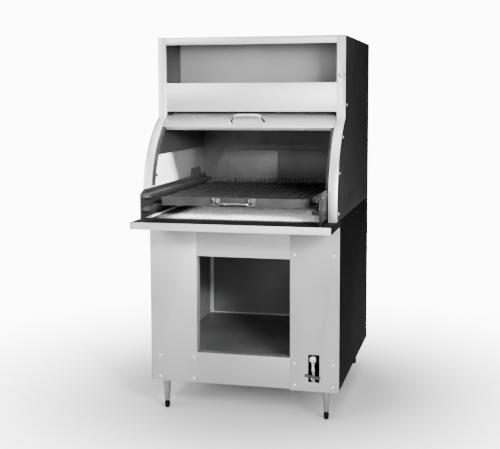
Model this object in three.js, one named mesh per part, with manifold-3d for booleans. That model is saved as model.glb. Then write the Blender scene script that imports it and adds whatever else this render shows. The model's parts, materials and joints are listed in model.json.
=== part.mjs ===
// Floor-standing gas charbroiler with a roll-top hood, in millimetres, +Z up.
// Origin: centre of the footprint, at floor level. The cook stands on the -Y side.
import * as THREE from "three";
import { mergeVertices } from "three/addons/utils/BufferGeometryUtils.js";
import Module from "manifold-3d";

const wasm = await Module();
wasm.setup();

// ---- Driving dimensions ----------------------------------------------------------------
const WIDTH = 914;
const HEIGHT = 1793;
const BODY_DEPTH = 1066;
const SHELF_REACH = 268; // the front shelf stands out this far from the base
const SHEET = 2; // sheet metal
const GAP = 0.3; // clearance kept between pieces that touch

const HALF = WIDTH / 2;
const BACK_Y = (BODY_DEPTH + SHELF_REACH) / 2;
const FRONT_Y = BACK_Y - BODY_DEPTH; // front face of the base
const NOSE_Y = FRONT_Y - SHELF_REACH;

const BASE_Z = 148; // underside of the base cabinet
const DECK_Z = 950; // shelf top, and the joint between base and hood
const ROOF_Z = 1575; // floor of the warming recess, which is the roof of the chamber
const REAR_WALL_Y = 388; // front face of the wall between chamber and flue

// Hood outline: an arc about the door's axis, then an upright front.
const AXIS_Y = -46;
const AXIS_Z = 1016;
const SWEEP_R = 444.5;
const UPPER_Y = -250;
const STRIP_WIDTH = 40.5;
const STRIP_LIP = 14; // depth of the strip's inner return
const ARC_STEP = 5; // degrees to a facet on the hood's curves

// Roll-top door, in degrees up from the horizontal in front of its axis.
const DOOR_LOW = 52.6;
const DOOR_HIGH = 125;
const FASCIA_HIGH = 66.5;
const SKIN_R = 432;
const FASCIA_R = 442.5;
const TRACK_OUTER_R = 436;
const TRACK_INNER_R = 426;
const TRACK_LOW = 11.2;
const TRACK_WIDTH = 14;

// Broiling grate and the racks it slides in.
const GRATE_FRONT_Y = -554;
const GRATE_BACK_Y = 289;
const GRATE_HALF = 343;
const GRATE_Z = 1018;
const GRATE_TOP_Z = 1058;
const BAR_COUNT = 29;
const BAR_PITCH = 23;
const RACK_FRONT_Y = -658;
const RACK_BACK_Y = 380;
const RACK_TOP_Z = 1095;
const RACK_EAR_Z = 1134;
const RACK_SHEET = 6;
const RACK_X = 404;
const RUNNER_WIDTH = 36;
const UPPER_RUNNER_Z = [1057.5, 1075];
const LOWER_RUNNER_Z = [1000, 1016.5];

// Front opening of the storage compartment.
const OPENING_HALF = 226;
const OPENING_LOW_Z = 295;
const OPENING_HIGH_Z = 762;
const BAY_X = 243; // the compartment ends here, beside the gas control bay
const STORE_X = -412;
const STORE_Z = 287;
const STORE_Y = 490;

// Gas controls, behind the cut-out in the right stile.
const GAS_X = 334;
const GAS_Y = -375;
const COCK_Z = 213;
const VALVE_Z = 295;
const PIPE_R = 10.5;
const INLET_Z = 174;
const MANIFOLD_Z = 862;
const ELBOW_TOP_Z = 190;
const COCK_TOP_Z = 236;
const VALVE_TOP_Z = 330;
const STEM_Y = -392; // the valves' bosses end here, and knob and lever start

const LEG_X = 392;
const LEG_FRONT_Y = -358;
const LEG_BACK_Y = 626;

// ---- Finishes --------------------------------------------------------------------------
const finish = (color, roughness, metalness) => () =>
  new THREE.MeshStandardMaterial({ color, roughness, metalness });
const stainless = finish(0xc4c6c8, 0.32, 1);
const brightSteel = finish(0xd6d8da, 0.2, 1);
const blackPaint = finish(0x16171a, 0.38, 0.1);
const darkLining = finish(0x4b4c4e, 0.55, 0.7);
const greySteel = finish(0x8d8f91, 0.45, 0.9);
const castIron = finish(0x2b2a29, 0.7, 0.6);
const rackSteel = finish(0x5f6062, 0.5, 0.8);
const ceramic = finish(0xb9b6ae, 0.9, 0);
const chrome = finish(0xe4e6e8, 0.12, 1);
const pipeSteel = finish(0x707274, 0.5, 0.8);

// ---- Helpers ---------------------------------------------------------------------------
const rad = THREE.MathUtils.degToRad;
const point = (u, v) => new THREE.Vector2(u, v);

// A closed geometry with one vertex at each place, as manifold-3d needs it.
function solidOf(geometry) {
  const bare = geometry.clone();
  bare.deleteAttribute("normal");
  bare.deleteAttribute("uv");
  const merged = mergeVertices(bare, 1e-4);
  const vertProperties = new Float32Array(merged.attributes.position.array);
  const triVerts = new Uint32Array(merged.index.array);
  return new wasm.Manifold(new wasm.Mesh({ numProp: 3, vertProperties, triVerts }));
}

function geometryOf(solid) {
  const mesh = solid.getMesh();
  const geometry = new THREE.BufferGeometry();
  geometry.setAttribute("position", new THREE.BufferAttribute(mesh.vertProperties, 3));
  geometry.setIndex(new THREE.BufferAttribute(mesh.triVerts, 1));
  const flat = geometry.toNonIndexed();
  flat.computeVertexNormals();
  return flat;
}

function joined(...geometries) {
  return geometryOf(geometries.map(solidOf).reduce((whole, next) => whole.add(next)));
}

function cutBy(geometry, ...tools) {
  return geometryOf(tools.map(solidOf).reduce((left, tool) => left.subtract(tool), solidOf(geometry)));
}

// A rectangular plate or bar between two corners, given in any order.
function slab([xa, xb], [ya, yb], [za, zb]) {
  const geometry = new THREE.BoxGeometry(Math.abs(xb - xa), Math.abs(yb - ya), Math.abs(zb - za));
  return geometry.translate((xa + xb) / 2, (ya + yb) / 2, (za + zb) / 2);
}

const X = new THREE.Vector3(1, 0, 0);
const Y = new THREE.Vector3(0, 1, 0);
const Z = new THREE.Vector3(0, 0, 1);

function extruded(points, depth) {
  return new THREE.ExtrudeGeometry(new THREE.Shape(points), { depth, bevelEnabled: false });
}

// An outline in (y, z) pushed along X from xa to xb.
function alongX(points, [xa, xb]) {
  const turn = new THREE.Matrix4().makeBasis(Y, Z, X);
  return extruded(points, Math.abs(xb - xa)).applyMatrix4(turn).translate(Math.min(xa, xb), 0, 0);
}

// An outline in (x, z) pushed along Y from ya to yb.
function alongY(points, [ya, yb]) {
  const turn = new THREE.Matrix4().makeBasis(X, Z, Y.clone().negate());
  return extruded(points, Math.abs(yb - ya)).applyMatrix4(turn).translate(0, Math.max(ya, yb), 0);
}

// An outline in (x, y) pushed along Z from za to zb.
function alongZ(points, [za, zb]) {
  return extruded(points, Math.abs(zb - za)).translate(0, 0, Math.min(za, zb));
}

// A profile of (radius, height) turned about the Z axis.
function turnedZ(profile, sides) {
  return new THREE.LatheGeometry(profile.map(([r, h]) => point(r, h)), sides).rotateX(Math.PI / 2);
}

// A profile of (radius, distance towards the cook) turned about an axis along Y.
function turnedFront(profile, sides) {
  return new THREE.LatheGeometry(profile.map(([r, h]) => point(r, h)), sides).rotateX(Math.PI);
}

// A round bar of n sides along a curve.
function rod(curve, radius, sides, steps) {
  const ring = Array.from({ length: sides }, (_, i) => {
    const a = (2 * Math.PI * i) / sides;
    return point(radius * Math.cos(a), radius * Math.sin(a));
  });
  return new THREE.ExtrudeGeometry(new THREE.Shape(ring), { steps, extrudePath: curve, bevelEnabled: false });
}

// A straight round bar between two points.
function bar(from, to, radius, sides = 16) {
  const a = new THREE.Vector3(...from);
  const b = new THREE.Vector3(...to);
  const turn = new THREE.Quaternion().setFromUnitVectors(Y, b.clone().sub(a).normalize());
  const middle = a.clone().add(b).multiplyScalar(0.5);
  return new THREE.CylinderGeometry(radius, radius, a.distanceTo(b), sides)
    .applyQuaternion(turn)
    .translate(middle.x, middle.y, middle.z);
}

// A place on a circle about the door's axis, in (y, z).
const onArc = (r, degrees) =>
  point(AXIS_Y - r * Math.cos(rad(degrees)), AXIS_Z + r * Math.sin(rad(degrees)));

// Facets meet at whole multiples of the step, so that arcs of any radius run parallel.
function arc(r, from, to) {
  if (from > to) return arc(r, to, from).reverse();
  const angles = [from];
  for (let a = ARC_STEP * Math.ceil(from / ARC_STEP); a < to; a += ARC_STEP) {
    if (a > from) angles.push(a);
  }
  return [...angles, to].map((a) => onArc(r, a));
}

// A curved plate about the door's axis, from radius inner to outer, across X.
function arcPlate(inner, outer, [from, to], across) {
  return alongX([...arc(inner, from, to), ...arc(outer, to, from)], across);
}

// The hood's front edge seen from the side, set back by inset, from low to high.
function frontEdge(inset, low, high) {
  const r = SWEEP_R - inset;
  const start = low < AXIS_Z ? 0 : THREE.MathUtils.radToDeg(Math.asin((low - AXIS_Z) / r));
  const bend = THREE.MathUtils.radToDeg(Math.acos((AXIS_Y - UPPER_Y - inset) / r));
  const top = AXIS_Z + r * Math.sin(rad(bend));
  const end = high > top ? bend : THREE.MathUtils.radToDeg(Math.asin((high - AXIS_Z) / r));
  return [
    ...(low < AXIS_Z ? [point(AXIS_Y - r, low)] : []),
    ...arc(r, start, end),
    ...(high > top ? [point(UPPER_Y + inset, high)] : []),
  ];
}

// A flat wall behind the hood's front edge, back to the plane at backY.
function hoodWall(inset, [low, high], backY, across) {
  return alongX([...frontEdge(inset, low, high), point(backY, high), point(backY, low)], across);
}

// A bail handle in the plane of X and local +Z: two round bases and a bent rod.
function bail({ span, grip, reach, rodR, baseR }) {
  const foot = (side) => new THREE.Vector3((side * span) / 2, 0, 4);
  const corner = (side) => new THREE.Vector3((side * grip) / 2, 0, reach);
  const toward = (a, b, t) => a.clone().lerp(b, t);
  const path = new THREE.CurvePath();
  const bends = [
    [foot(-1), corner(-1), corner(1)],
    [corner(-1), corner(1), foot(1)],
  ];
  let last = foot(-1);
  for (const [before, at, after] of bends) {
    const enter = toward(at, before, 0.3);
    const leave = toward(at, after, 0.15);
    path.add(new THREE.LineCurve3(last, enter));
    path.add(new THREE.QuadraticBezierCurve3(enter, at, leave));
    last = leave;
  }
  path.add(new THREE.LineCurve3(last, foot(1)));
  const smooth = new THREE.CatmullRomCurve3(path.getSpacedPoints(20));
  const bases = [-1, 1].map((side) =>
    turnedZ([[0, 0], [baseR, 0], [baseR, 3], [rodR, 9], [0, 9]], 12).translate(
      (side * span) / 2,
      0,
      0,
    ),
  );
  return joined(rod(smooth, rodR, 8, 20), ...bases);
}

function piece(group, name, geometry, makeMaterial) {
  const mesh = new THREE.Mesh(geometry, makeMaterial());
  mesh.name = name;
  group.add(mesh);
  return mesh;
}

const sides = [
  ["left", -1],
  ["right", 1],
];
const span = (side, inner, outer) => [side * inner, side * outer];

// ---- Base cabinet ----------------------------------------------------------------------
const SKIN_X = HALF - SHEET; // inner face of the outer side panels
const INNER_X = SKIN_X - 0.5; // parts between the side panels stop here
const FACE = [FRONT_Y, FRONT_Y + SHEET];
const BEHIND_FACE = FRONT_Y + SHEET + GAP;
const JAMB_DEPTH = 50;

function baseSides(group) {
  for (const [name, side] of sides) {
    const panel = slab(span(side, SKIN_X, HALF), [BEHIND_FACE, BACK_Y - SHEET - GAP], [BASE_Z, DECK_Z - GAP]);
    piece(group, `base_side_${name}`, panel, blackPaint);
  }
}

function baseBack(group) {
  const panel = slab([-HALF, HALF], [BACK_Y - SHEET, BACK_Y], [BASE_Z, DECK_Z - GAP]);
  const pipeHole = bar([GAS_X, BACK_Y - 20, INLET_Z], [GAS_X, BACK_Y + 20, INLET_Z], PIPE_R + 1);
  piece(group, "base_back", cutBy(panel, pipeHole), blackPaint);
}

// Outline of a stile's face: square, except for the rounded outer corner at the foot.
function stileFace(side, low, high) {
  const radius = 14;
  const outer = side * HALF;
  const inner = side * OPENING_HALF;
  const corner = Array.from({ length: 5 }, (_, i) => {
    const a = (Math.PI / 2) * (i / 4);
    return point(outer - side * radius * (1 - Math.sin(a)), low + radius * (1 - Math.cos(a)));
  });
  return alongY([point(inner, low), ...corner, point(outer, high), point(inner, high)], FACE);
}

function frontStiles(group) {
  const top = DECK_Z - 4 - GAP;
  const jamb = (side) =>
    slab(
      span(side, OPENING_HALF, OPENING_HALF + SHEET),
      [FRONT_Y, FRONT_Y + JAMB_DEPTH],
      [OPENING_LOW_Z, OPENING_HIGH_Z],
    );
  const left = joined(stileFace(-1, BASE_Z, top), jamb(-1));
  piece(group, "front_stile_left", left, stainless);
  // The right stile hangs a little lower, and is open in front of the gas controls.
  const cutOut = slab([312, 365.5], [FRONT_Y - 5, FRONT_Y + 10], [185, 317]);
  const right = joined(cutBy(stileFace(1, BASE_Z - 7, top), cutOut), jamb(1));
  piece(group, "front_stile_right", right, stainless);
}

// The rails lie between the stiles; each turns back along the opening's edge.
function frontRails(group) {
  const across = [-OPENING_HALF + GAP, OPENING_HALF - GAP];
  const rail = (low, high, edge, inward) =>
    alongX(
      [
        point(FRONT_Y, low),
        point(FRONT_Y, high),
        ...(inward > 0
          ? [point(FRONT_Y + SHEET, high), point(FRONT_Y + SHEET, edge + SHEET)]
          : [point(FRONT_Y + JAMB_DEPTH, high), point(FRONT_Y + JAMB_DEPTH, edge - SHEET)]),
        ...(inward > 0
          ? [point(FRONT_Y + JAMB_DEPTH, edge + SHEET), point(FRONT_Y + JAMB_DEPTH, low)]
          : [point(FRONT_Y + SHEET, edge - SHEET), point(FRONT_Y + SHEET, low)]),
      ],
      across,
    );
  const top = DECK_Z - 4 - GAP;
  piece(group, "top_rail", rail(OPENING_HIGH_Z, top, OPENING_HIGH_Z, 1), stainless);
  piece(group, "bottom_rail", rail(BASE_Z, OPENING_LOW_Z, OPENING_LOW_Z, -1), stainless);
}

// A pressed pan that carries the legs, with its edge turned up all round.
function baseFrame(group) {
  const x = [-INNER_X, INNER_X];
  const y = [BEHIND_FACE + GAP, BACK_Y - SHEET - 0.5];
  const rim = slab(x, y, [150, 162]);
  const inside = slab([x[0] + 3, x[1] - 3], [y[0] + 3, y[1] - 3], [153, 170]);
  piece(group, "base_frame", cutBy(rim, inside), pipeSteel);
}

// Lining of the open storage compartment. The control bay lies to its right.
function compartment(group) {
  const wallZ = [STORE_Z - SHEET, OPENING_HIGH_Z + 1 - GAP];
  const y = [BEHIND_FACE + JAMB_DEPTH, STORE_Y - GAP];
  piece(group, "compartment_floor", slab([STORE_X, BAY_X], y, [STORE_Z - SHEET, STORE_Z]), darkLining);
  piece(
    group,
    "compartment_back",
    slab([STORE_X - SHEET, BAY_X + SHEET], [STORE_Y, STORE_Y + SHEET], wallZ),
    darkLining,
  );
  piece(group, "compartment_side_left", slab([STORE_X - GAP - SHEET, STORE_X - GAP], y, wallZ), darkLining);
  piece(group, "compartment_side_right", slab([BAY_X + GAP, BAY_X + GAP + SHEET], y, wallZ), darkLining);
  piece(
    group,
    "compartment_top",
    slab([-INNER_X, BAY_X + SHEET], [y[0], STORE_Y + SHEET], [OPENING_HIGH_Z + 1, OPENING_HIGH_Z + 3]),
    darkLining,
  );
}

// Black front shelf with its ends turned down, and the bright nosing along its front.
function frontShelf(group) {
  const plateZ = [DECK_Z - 4, DECK_Z];
  const skirtZ = [DECK_Z - 32, DECK_Z - 3];
  const plate = slab([-HALF, HALF], [NOSE_Y + SHEET + GAP, FRONT_Y + SHEET], plateZ);
  const skirt = (side) =>
    slab(span(side, HALF - SHEET, HALF), [NOSE_Y + SHEET + GAP, FRONT_Y - GAP], skirtZ);
  piece(group, "front_shelf", joined(plate, skirt(-1), skirt(1)), blackPaint);
  const low = DECK_Z - 32;
  const nosing = [
    point(NOSE_Y, low),
    point(NOSE_Y + 16, low),
    point(NOSE_Y + 16, low + SHEET),
    point(NOSE_Y + SHEET, low + SHEET),
    point(NOSE_Y + SHEET, DECK_Z),
    point(NOSE_Y + 0.8, DECK_Z),
    point(NOSE_Y, DECK_Z - 1.5),
  ];
  // Its foot is notched at each end to pass inside the shelf's turned-down ends.
  const notch = (side) =>
    slab(span(side, HALF - SHEET - GAP, HALF + 5), [NOSE_Y + SHEET, NOSE_Y + 20], [low - 5, low + 5]);
  const strip = cutBy(alongX(nosing, [-HALF, HALF]), notch(-1), notch(1));
  piece(group, "shelf_nosing", strip, stainless);
}

// Pan round the burner, hung in the cabinet by its flange, which carries tray and racks.
function firebox(group) {
  const halfX = 384;
  const y = [FRONT_Y + JAMB_DEPTH + SHEET, REAR_WALL_Y - SHEET];
  const low = OPENING_HIGH_Z + 6;
  const walls = slab([-halfX, halfX], y, [low, DECK_Z - 1]);
  const flange = slab([-INNER_X, INNER_X], [BEHIND_FACE, REAR_WALL_Y - GAP], [DECK_Z - 3, DECK_Z]);
  const inside = slab(
    [-halfX + SHEET, halfX - SHEET],
    [y[0] + SHEET, y[1] - SHEET],
    [low + SHEET, DECK_Z + 10],
  );
  const inlet = bar([0, y[0] - 20, MANIFOLD_Z], [0, y[0] + 20, MANIFOLD_Z], 23);
  piece(group, "firebox", cutBy(joined(walls, flange), inside, inlet), pipeSteel);
}

function leg(group, name, x, y) {
  const plate = slab([-36, 36], [-36, 36], [146.5, 149.7]);
  const tube = turnedZ([[0, 38], [11.5, 38], [13, 41], [16, 80], [19, 128], [21, 147], [0, 147]], 20);
  piece(group, `leg_${name}`, joined(plate, tube), stainless).position.set(x, y, 0);
}

// Levelling foot: a rounded bullet that screws into the leg.
function foot(group, name, x, y) {
  const bullet = [[0, 0], [7, 0], [10, 3], [12.5, 12], [13, 22], [12, 32], [10, 37.7], [0, 37.7]];
  piece(group, `foot_${name}`, turnedZ(bullet, 20), castIron).position.set(x, y, 0);
}

function legs(group) {
  for (const [sideName, side] of sides) {
    for (const [endName, y] of [["front", LEG_FRONT_Y], ["back", LEG_BACK_Y]]) {
      const name = `${endName}_${sideName}`;
      leg(group, name, side * LEG_X, y);
      foot(group, name, side * LEG_X, y);
    }
  }
}

// ---- Gas train -------------------------------------------------------------------------
// Supply: in at the back, forward under the compartment, and up to the main cock.
function supplyPipe(group) {
  const along = bar([GAS_X, GAS_Y, INLET_Z], [GAS_X, BACK_Y, INLET_Z], PIPE_R, 12);
  const elbowR = PIPE_R + 3;
  const elbow = turnedZ([[0, 160], [elbowR, 160], [elbowR, ELBOW_TOP_Z], [0, ELBOW_TOP_Z]], 12);
  const collar = bar([GAS_X, GAS_Y, INLET_Z], [GAS_X, GAS_Y + 30, INLET_Z], PIPE_R + 2, 12);
  const bore = bar([GAS_X, BACK_Y - 60, INLET_Z], [GAS_X, BACK_Y + 5, INLET_Z], PIPE_R - 3, 12);
  const pipe = cutBy(joined(along, elbow.translate(GAS_X, GAS_Y, 0), collar), bore);
  piece(group, "gas_supply_pipe", pipe, pipeSteel);
}

// Plug cock: waisted body, with a boss towards the front for the lever's stem.
function mainCock(group) {
  const low = ELBOW_TOP_Z + GAP;
  const waist = [[14, low], [14, 198], [11, 202], [15, COCK_Z], [11, 224], [14, 228]];
  const profile = [[0, low], ...waist, [14, COCK_TOP_Z], [0, COCK_TOP_Z]];
  const body = turnedZ(profile, 16).translate(GAS_X, GAS_Y, 0);
  const boss = bar([GAS_X, GAS_Y, COCK_Z], [GAS_X, STEM_Y, COCK_Z], 11);
  piece(group, "main_cock", joined(body, boss), chrome);
}

// Flat lever with two flared wings; it lies across the pipe when the gas is off.
function cockLever(group) {
  const wing = (side) => [
    point(side * 7, side * 5),
    point(side * 26, side * 7),
    point(side * 38, side * 9),
    point(side * 38, side * -9),
    point(side * 26, side * -7),
    point(side * 7, side * -5),
  ];
  const outline = [...wing(1), ...wing(-1)].reverse();
  const plate = alongY(outline, [-408, -403]).translate(GAS_X, 0, COCK_Z);
  const stem = bar([GAS_X, -404, COCK_Z], [GAS_X, STEM_Y - GAP, COCK_Z], 5);
  const hub = bar([GAS_X, -410, COCK_Z], [GAS_X, -402, COCK_Z], 9);
  piece(group, "cock_lever", joined(plate, stem, hub), pipeSteel);
}

function burnerValve(group) {
  const low = COCK_TOP_Z + GAP;
  const body = [[10, low], [10, 262], [14, 266], [14, 278], [16, 286], [16, 304], [13, 310]];
  const profile = [[0, low], ...body, [13, VALVE_TOP_Z], [0, VALVE_TOP_Z]];
  const turned = turnedZ(profile, 16).translate(GAS_X, GAS_Y, 0);
  const boss = bar([GAS_X, GAS_Y, VALVE_Z], [GAS_X, STEM_Y, VALVE_Z], 9);
  piece(group, "burner_valve", joined(turned, boss), chrome);
}

function burnerKnob(group) {
  const profile = [[0, 392.3], [12, 392.3], [18, 394], [18, 398], [14, 401], [13, 409], [9, 413], [0, 414]];
  piece(group, "burner_knob", turnedFront(profile, 20), chrome).position.set(GAS_X, 0, VALVE_Z);
}

// Riser in the control bay, then across to the orifice in front of the burner.
function gasManifold(group) {
  const riser = bar([GAS_X, GAS_Y, VALVE_TOP_Z + GAP], [GAS_X, GAS_Y, MANIFOLD_Z], PIPE_R, 12);
  const elbow = new THREE.SphereGeometry(PIPE_R + 4, 12, 8).translate(GAS_X, GAS_Y, MANIFOLD_Z);
  const cross = bar([GAS_X, GAS_Y, MANIFOLD_Z], [-24, GAS_Y, MANIFOLD_Z], PIPE_R, 12);
  const orifice = bar([0, GAS_Y, MANIFOLD_Z], [0, -354, MANIFOLD_Z], 7, 12);
  piece(group, "gas_manifold", joined(riser, elbow, cross, orifice), pipeSteel);
}

// Cast H burner: a venturi from the front feeds two long legs over the pan.
function burner(group) {
  const legX = 215;
  const leg = (x) => bar([x, -300, MANIFOLD_Z], [x, 330, MANIFOLD_Z], 24, 14);
  const cross = bar([-legX, 0, MANIFOLD_Z], [legX, 0, MANIFOLD_Z], 20, 14);
  const venturi = turnedFront(
    [[0, -10], [18, -10], [18, 90], [12, 220], [22, 320], [22, 351.5], [16, 351.5], [9, 240], [0, 240]],
    16,
  ).translate(0, 0, MANIFOLD_Z);
  const post = (x, y) => bar([x, y, OPENING_HIGH_Z + 8.3], [x, y, MANIFOLD_Z], 7, 10);
  const posts = [-legX, legX].flatMap((x) => [post(x, -220), post(x, 250)]);
  piece(group, "burner", joined(leg(-legX), leg(legX), cross, venturi, ...posts), castIron);
}

// ---- Fire bed --------------------------------------------------------------------------
const TRAY_HALF = 394;
const TRAY_FRONT_Y = -524;
const TRAY_BACK_Y = 366;
const BED_SEAM_Y = -290;

function briquetteTray(group) {
  const x = [-TRAY_HALF, TRAY_HALF];
  const rim = slab(x, [TRAY_FRONT_Y, TRAY_BACK_Y], [DECK_Z + GAP, DECK_Z + 6]);
  const inside = slab(
    [x[0] + 1.5, x[1] - 1.5],
    [TRAY_FRONT_Y + 1.5, TRAY_BACK_Y - 1.5],
    [DECK_Z + 1.8, DECK_Z + 9],
  );
  piece(group, "briquette_tray", cutBy(rim, inside), pipeSteel);
}

// A layer of ceramic briquettes: blunt pyramids in rows on one thin bed.
function briquetteLayer(group, name, [front, back], rows) {
  const columns = 10;
  const halfX = TRAY_HALF - 3;
  const low = DECK_Z + 2.1;
  const cellX = (2 * halfX) / columns;
  const cellY = (back - front) / rows;
  const height = 7;
  const parts = [slab([-halfX, halfX], [front, back], [low, low + 3])];
  for (let row = 0; row < rows; row += 1) {
    for (let column = 0; column < columns; column += 1) {
      const block = new THREE.CylinderGeometry(0.42, 0.66, height, 4);
      block.rotateY(Math.PI / 4).rotateX(Math.PI / 2).scale(cellX, cellY, 1);
      const x = -halfX + cellX * (column + 0.5);
      const y = front + cellY * (row + 0.5);
      parts.push(block.translate(x, y, low + 2 + height / 2));
    }
  }
  piece(group, name, joined(...parts), ceramic);
}

function fireBed(group) {
  briquetteTray(group);
  briquetteLayer(group, "briquettes_front", [TRAY_FRONT_Y + 2, BED_SEAM_Y], 3);
  briquetteLayer(group, "briquettes_rear", [BED_SEAM_Y + 1, TRAY_BACK_Y - 2], 7);
}

// ---- Racks and grate -------------------------------------------------------------------
// A rack is an upright plate on two feet, with an ear at the back that keys into the lining,
// and an upper and a lower runner inside it.
function rack(group, name, side) {
  const footZ = DECK_Z + GAP;
  const footLength = 45;
  const clearZ = DECK_Z + 16;
  const earFront = 122;
  const earBack = 285;
  const plate = [
    point(RACK_FRONT_Y, footZ),
    point(RACK_FRONT_Y + 14, footZ),
    point(RACK_FRONT_Y + 26, clearZ),
    point(RACK_BACK_Y - footLength - 10, clearZ),
    point(RACK_BACK_Y - footLength, footZ),
    point(RACK_BACK_Y, footZ),
    point(RACK_BACK_Y, RACK_TOP_Z),
    point(earBack + 12, RACK_TOP_Z),
    point(earBack, RACK_EAR_Z - 8),
    point(earBack - 10, RACK_EAR_Z),
    point(earFront + 12, RACK_EAR_Z),
    point(earFront, RACK_TOP_Z),
    point(RACK_FRONT_Y + 48, RACK_TOP_Z),
    point(RACK_FRONT_Y, RACK_TOP_Z - 17),
  ];
  const chamfer = 22;
  const outer = RACK_X + 1;
  const inner = RACK_X - RUNNER_WIDTH;
  const runnerFront = RACK_FRONT_Y + 6;
  const runnerBack = RACK_BACK_Y - 5;
  const runnerPlan = [
    point(side * inner, runnerBack),
    point(side * outer, runnerBack),
    point(side * outer, runnerFront),
    point(side * (inner + chamfer), runnerFront),
    point(side * inner, runnerFront + chamfer),
  ];
  const geometry = joined(
    alongX(plate, span(side, RACK_X, RACK_X + RACK_SHEET)),
    alongZ(runnerPlan, UPPER_RUNNER_Z),
    alongZ(runnerPlan, LOWER_RUNNER_Z),
  );
  piece(group, `rack_${name}`, geometry, rackSteel);
}

// Bars run front to back and taper downwards; their rear ends turn up.
function grateBar(x) {
  const top = 1056;
  const low = 1042;
  const section = [point(x - 2.5, low), point(x + 2.5, low), point(x + 4.5, top), point(x - 4.5, top)];
  const tip = 1078;
  const turnUp = [
    point(GRATE_BACK_Y - 9, low + 1),
    point(GRATE_BACK_Y - 1, low + 1),
    point(GRATE_BACK_Y + 2, tip),
    point(GRATE_BACK_Y - 5, tip),
  ];
  return joined(
    alongY(section, [GRATE_FRONT_Y + 4, GRATE_BACK_Y - 2]),
    alongX(turnUp, [x - 3.5, x + 3.5]),
  );
}

function grate(group) {
  const across = [-GRATE_HALF, GRATE_HALF];
  const frontBar = [
    point(GRATE_FRONT_Y, GRATE_Z),
    point(GRATE_FRONT_Y + 8, GRATE_Z),
    point(GRATE_FRONT_Y + 8, GRATE_TOP_Z),
    point(GRATE_FRONT_Y + 2, GRATE_TOP_Z),
    point(GRATE_FRONT_Y, GRATE_TOP_Z - 2),
  ];
  const sideRail = (side) => {
    const rail = [[337, 1052], [GRATE_HALF, 1052], [GRATE_HALF, 1021], [398, 1021], [398, 1017], [337, 1017]];
    return alongY(rail.map(([x, z]) => point(side * x, z)), [GRATE_FRONT_Y + 1, GRATE_BACK_Y - 1]);
  };
  const supports = [-280, 20].map((y) => slab([-340, 340], [y - 5, y + 5], [1032, 1044]));
  const bars = Array.from({ length: BAR_COUNT }, (_, i) => grateBar((i - (BAR_COUNT - 1) / 2) * BAR_PITCH));
  const geometry = joined(
    alongX(frontBar, across),
    slab(across, [GRATE_BACK_Y - 6, GRATE_BACK_Y], [GRATE_Z, 1050]),
    sideRail(-1),
    sideRail(1),
    ...supports,
    ...bars,
  );
  piece(group, "grate", geometry, castIron);
}

// Cast pull: two square lugs with stepped faces, and a round grip that hangs a little below them.
function grateHandle(group) {
  const lugX = 82;
  const reach = 34;
  const gripDrop = 7;
  const lug = (side, half, depth) =>
    slab([side * lugX - half, side * lugX + half], [0, -depth], [-half * 0.95, half * 0.95]);
  const lugs = sides.flatMap(([, side]) => [lug(side, 19, 8), lug(side, 14, 15)]);
  const way = [
    [-lugX, -12, -2],
    [-lugX + 4, -24, -gripDrop],
    [-lugX + 18, -reach, -gripDrop],
    [0, -reach, -gripDrop],
    [lugX - 18, -reach, -gripDrop],
    [lugX - 4, -24, -gripDrop],
    [lugX, -12, -2],
  ];
  const curve = new THREE.CatmullRomCurve3(way.map((p) => new THREE.Vector3(...p)));
  const handle = joined(...lugs, rod(curve, 6, 10, 24));
  piece(group, "grate_handle", handle, chrome).position.set(0, GRATE_FRONT_Y - GAP, 1039);
}

// ---- Hood ------------------------------------------------------------------------------
const HOOD_LOW = DECK_Z + GAP;
const HOOD_HIGH = HEIGHT - SHEET - GAP; // just under the top panel
const WALL_X = HALF - STRIP_WIDTH; // inner face of the lining
const LINER_HIGH = 1237;
const BETWEEN = [-WALL_X + GAP, WALL_X - GAP];

function hoodSides(group) {
  for (const [name, side] of sides) {
    const across = span(side, SKIN_X, HALF);
    const panel = hoodWall(SHEET + GAP, [HOOD_LOW, HOOD_HIGH], BACK_Y - SHEET - GAP, across);
    piece(group, `hood_side_${name}`, panel, blackPaint);
  }
}

// Bright strip round the front edge of each double wall, with a return on its inner edge.
function edgeStrip(side) {
  const band = (depth, across) =>
    alongX(
      [...frontEdge(0, HOOD_LOW, HOOD_HIGH), ...frontEdge(depth, HOOD_LOW, HOOD_HIGH).reverse()],
      across,
    );
  return joined(band(SHEET, span(side, WALL_X, HALF)), band(STRIP_LIP, span(side, WALL_X, WALL_X + SHEET)));
}

const DAMPER_X = 441;
const DAMPER_Z = 1610;
const DAMPER_ROD_R = 4;

function hoodStrips(group) {
  const holeR = DAMPER_ROD_R + 0.6;
  const rodHole = bar([DAMPER_X, UPPER_Y - 5, DAMPER_Z], [DAMPER_X, UPPER_Y + 10, DAMPER_Z], holeR);
  piece(group, "hood_strip_left", edgeStrip(-1), stainless);
  piece(group, "hood_strip_right", cutBy(edgeStrip(1), rodHole), stainless);
}

// Lining: bright and removable beside the grate, dark above it.
function hoodLining(group) {
  const backY = REAR_WALL_Y - GAP;
  for (const [name, side] of sides) {
    const across = span(side, WALL_X, WALL_X + SHEET);
    const inset = STRIP_LIP + 1;
    const bright = hoodWall(inset, [HOOD_LOW, LINER_HIGH], backY, across);
    piece(group, `side_liner_${name}`, bright, brightSteel);
    const dark = hoodWall(inset, [LINER_HIGH + GAP, HOOD_HIGH], backY, across);
    piece(group, `chamber_side_${name}`, dark, darkLining);
  }
}

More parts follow.
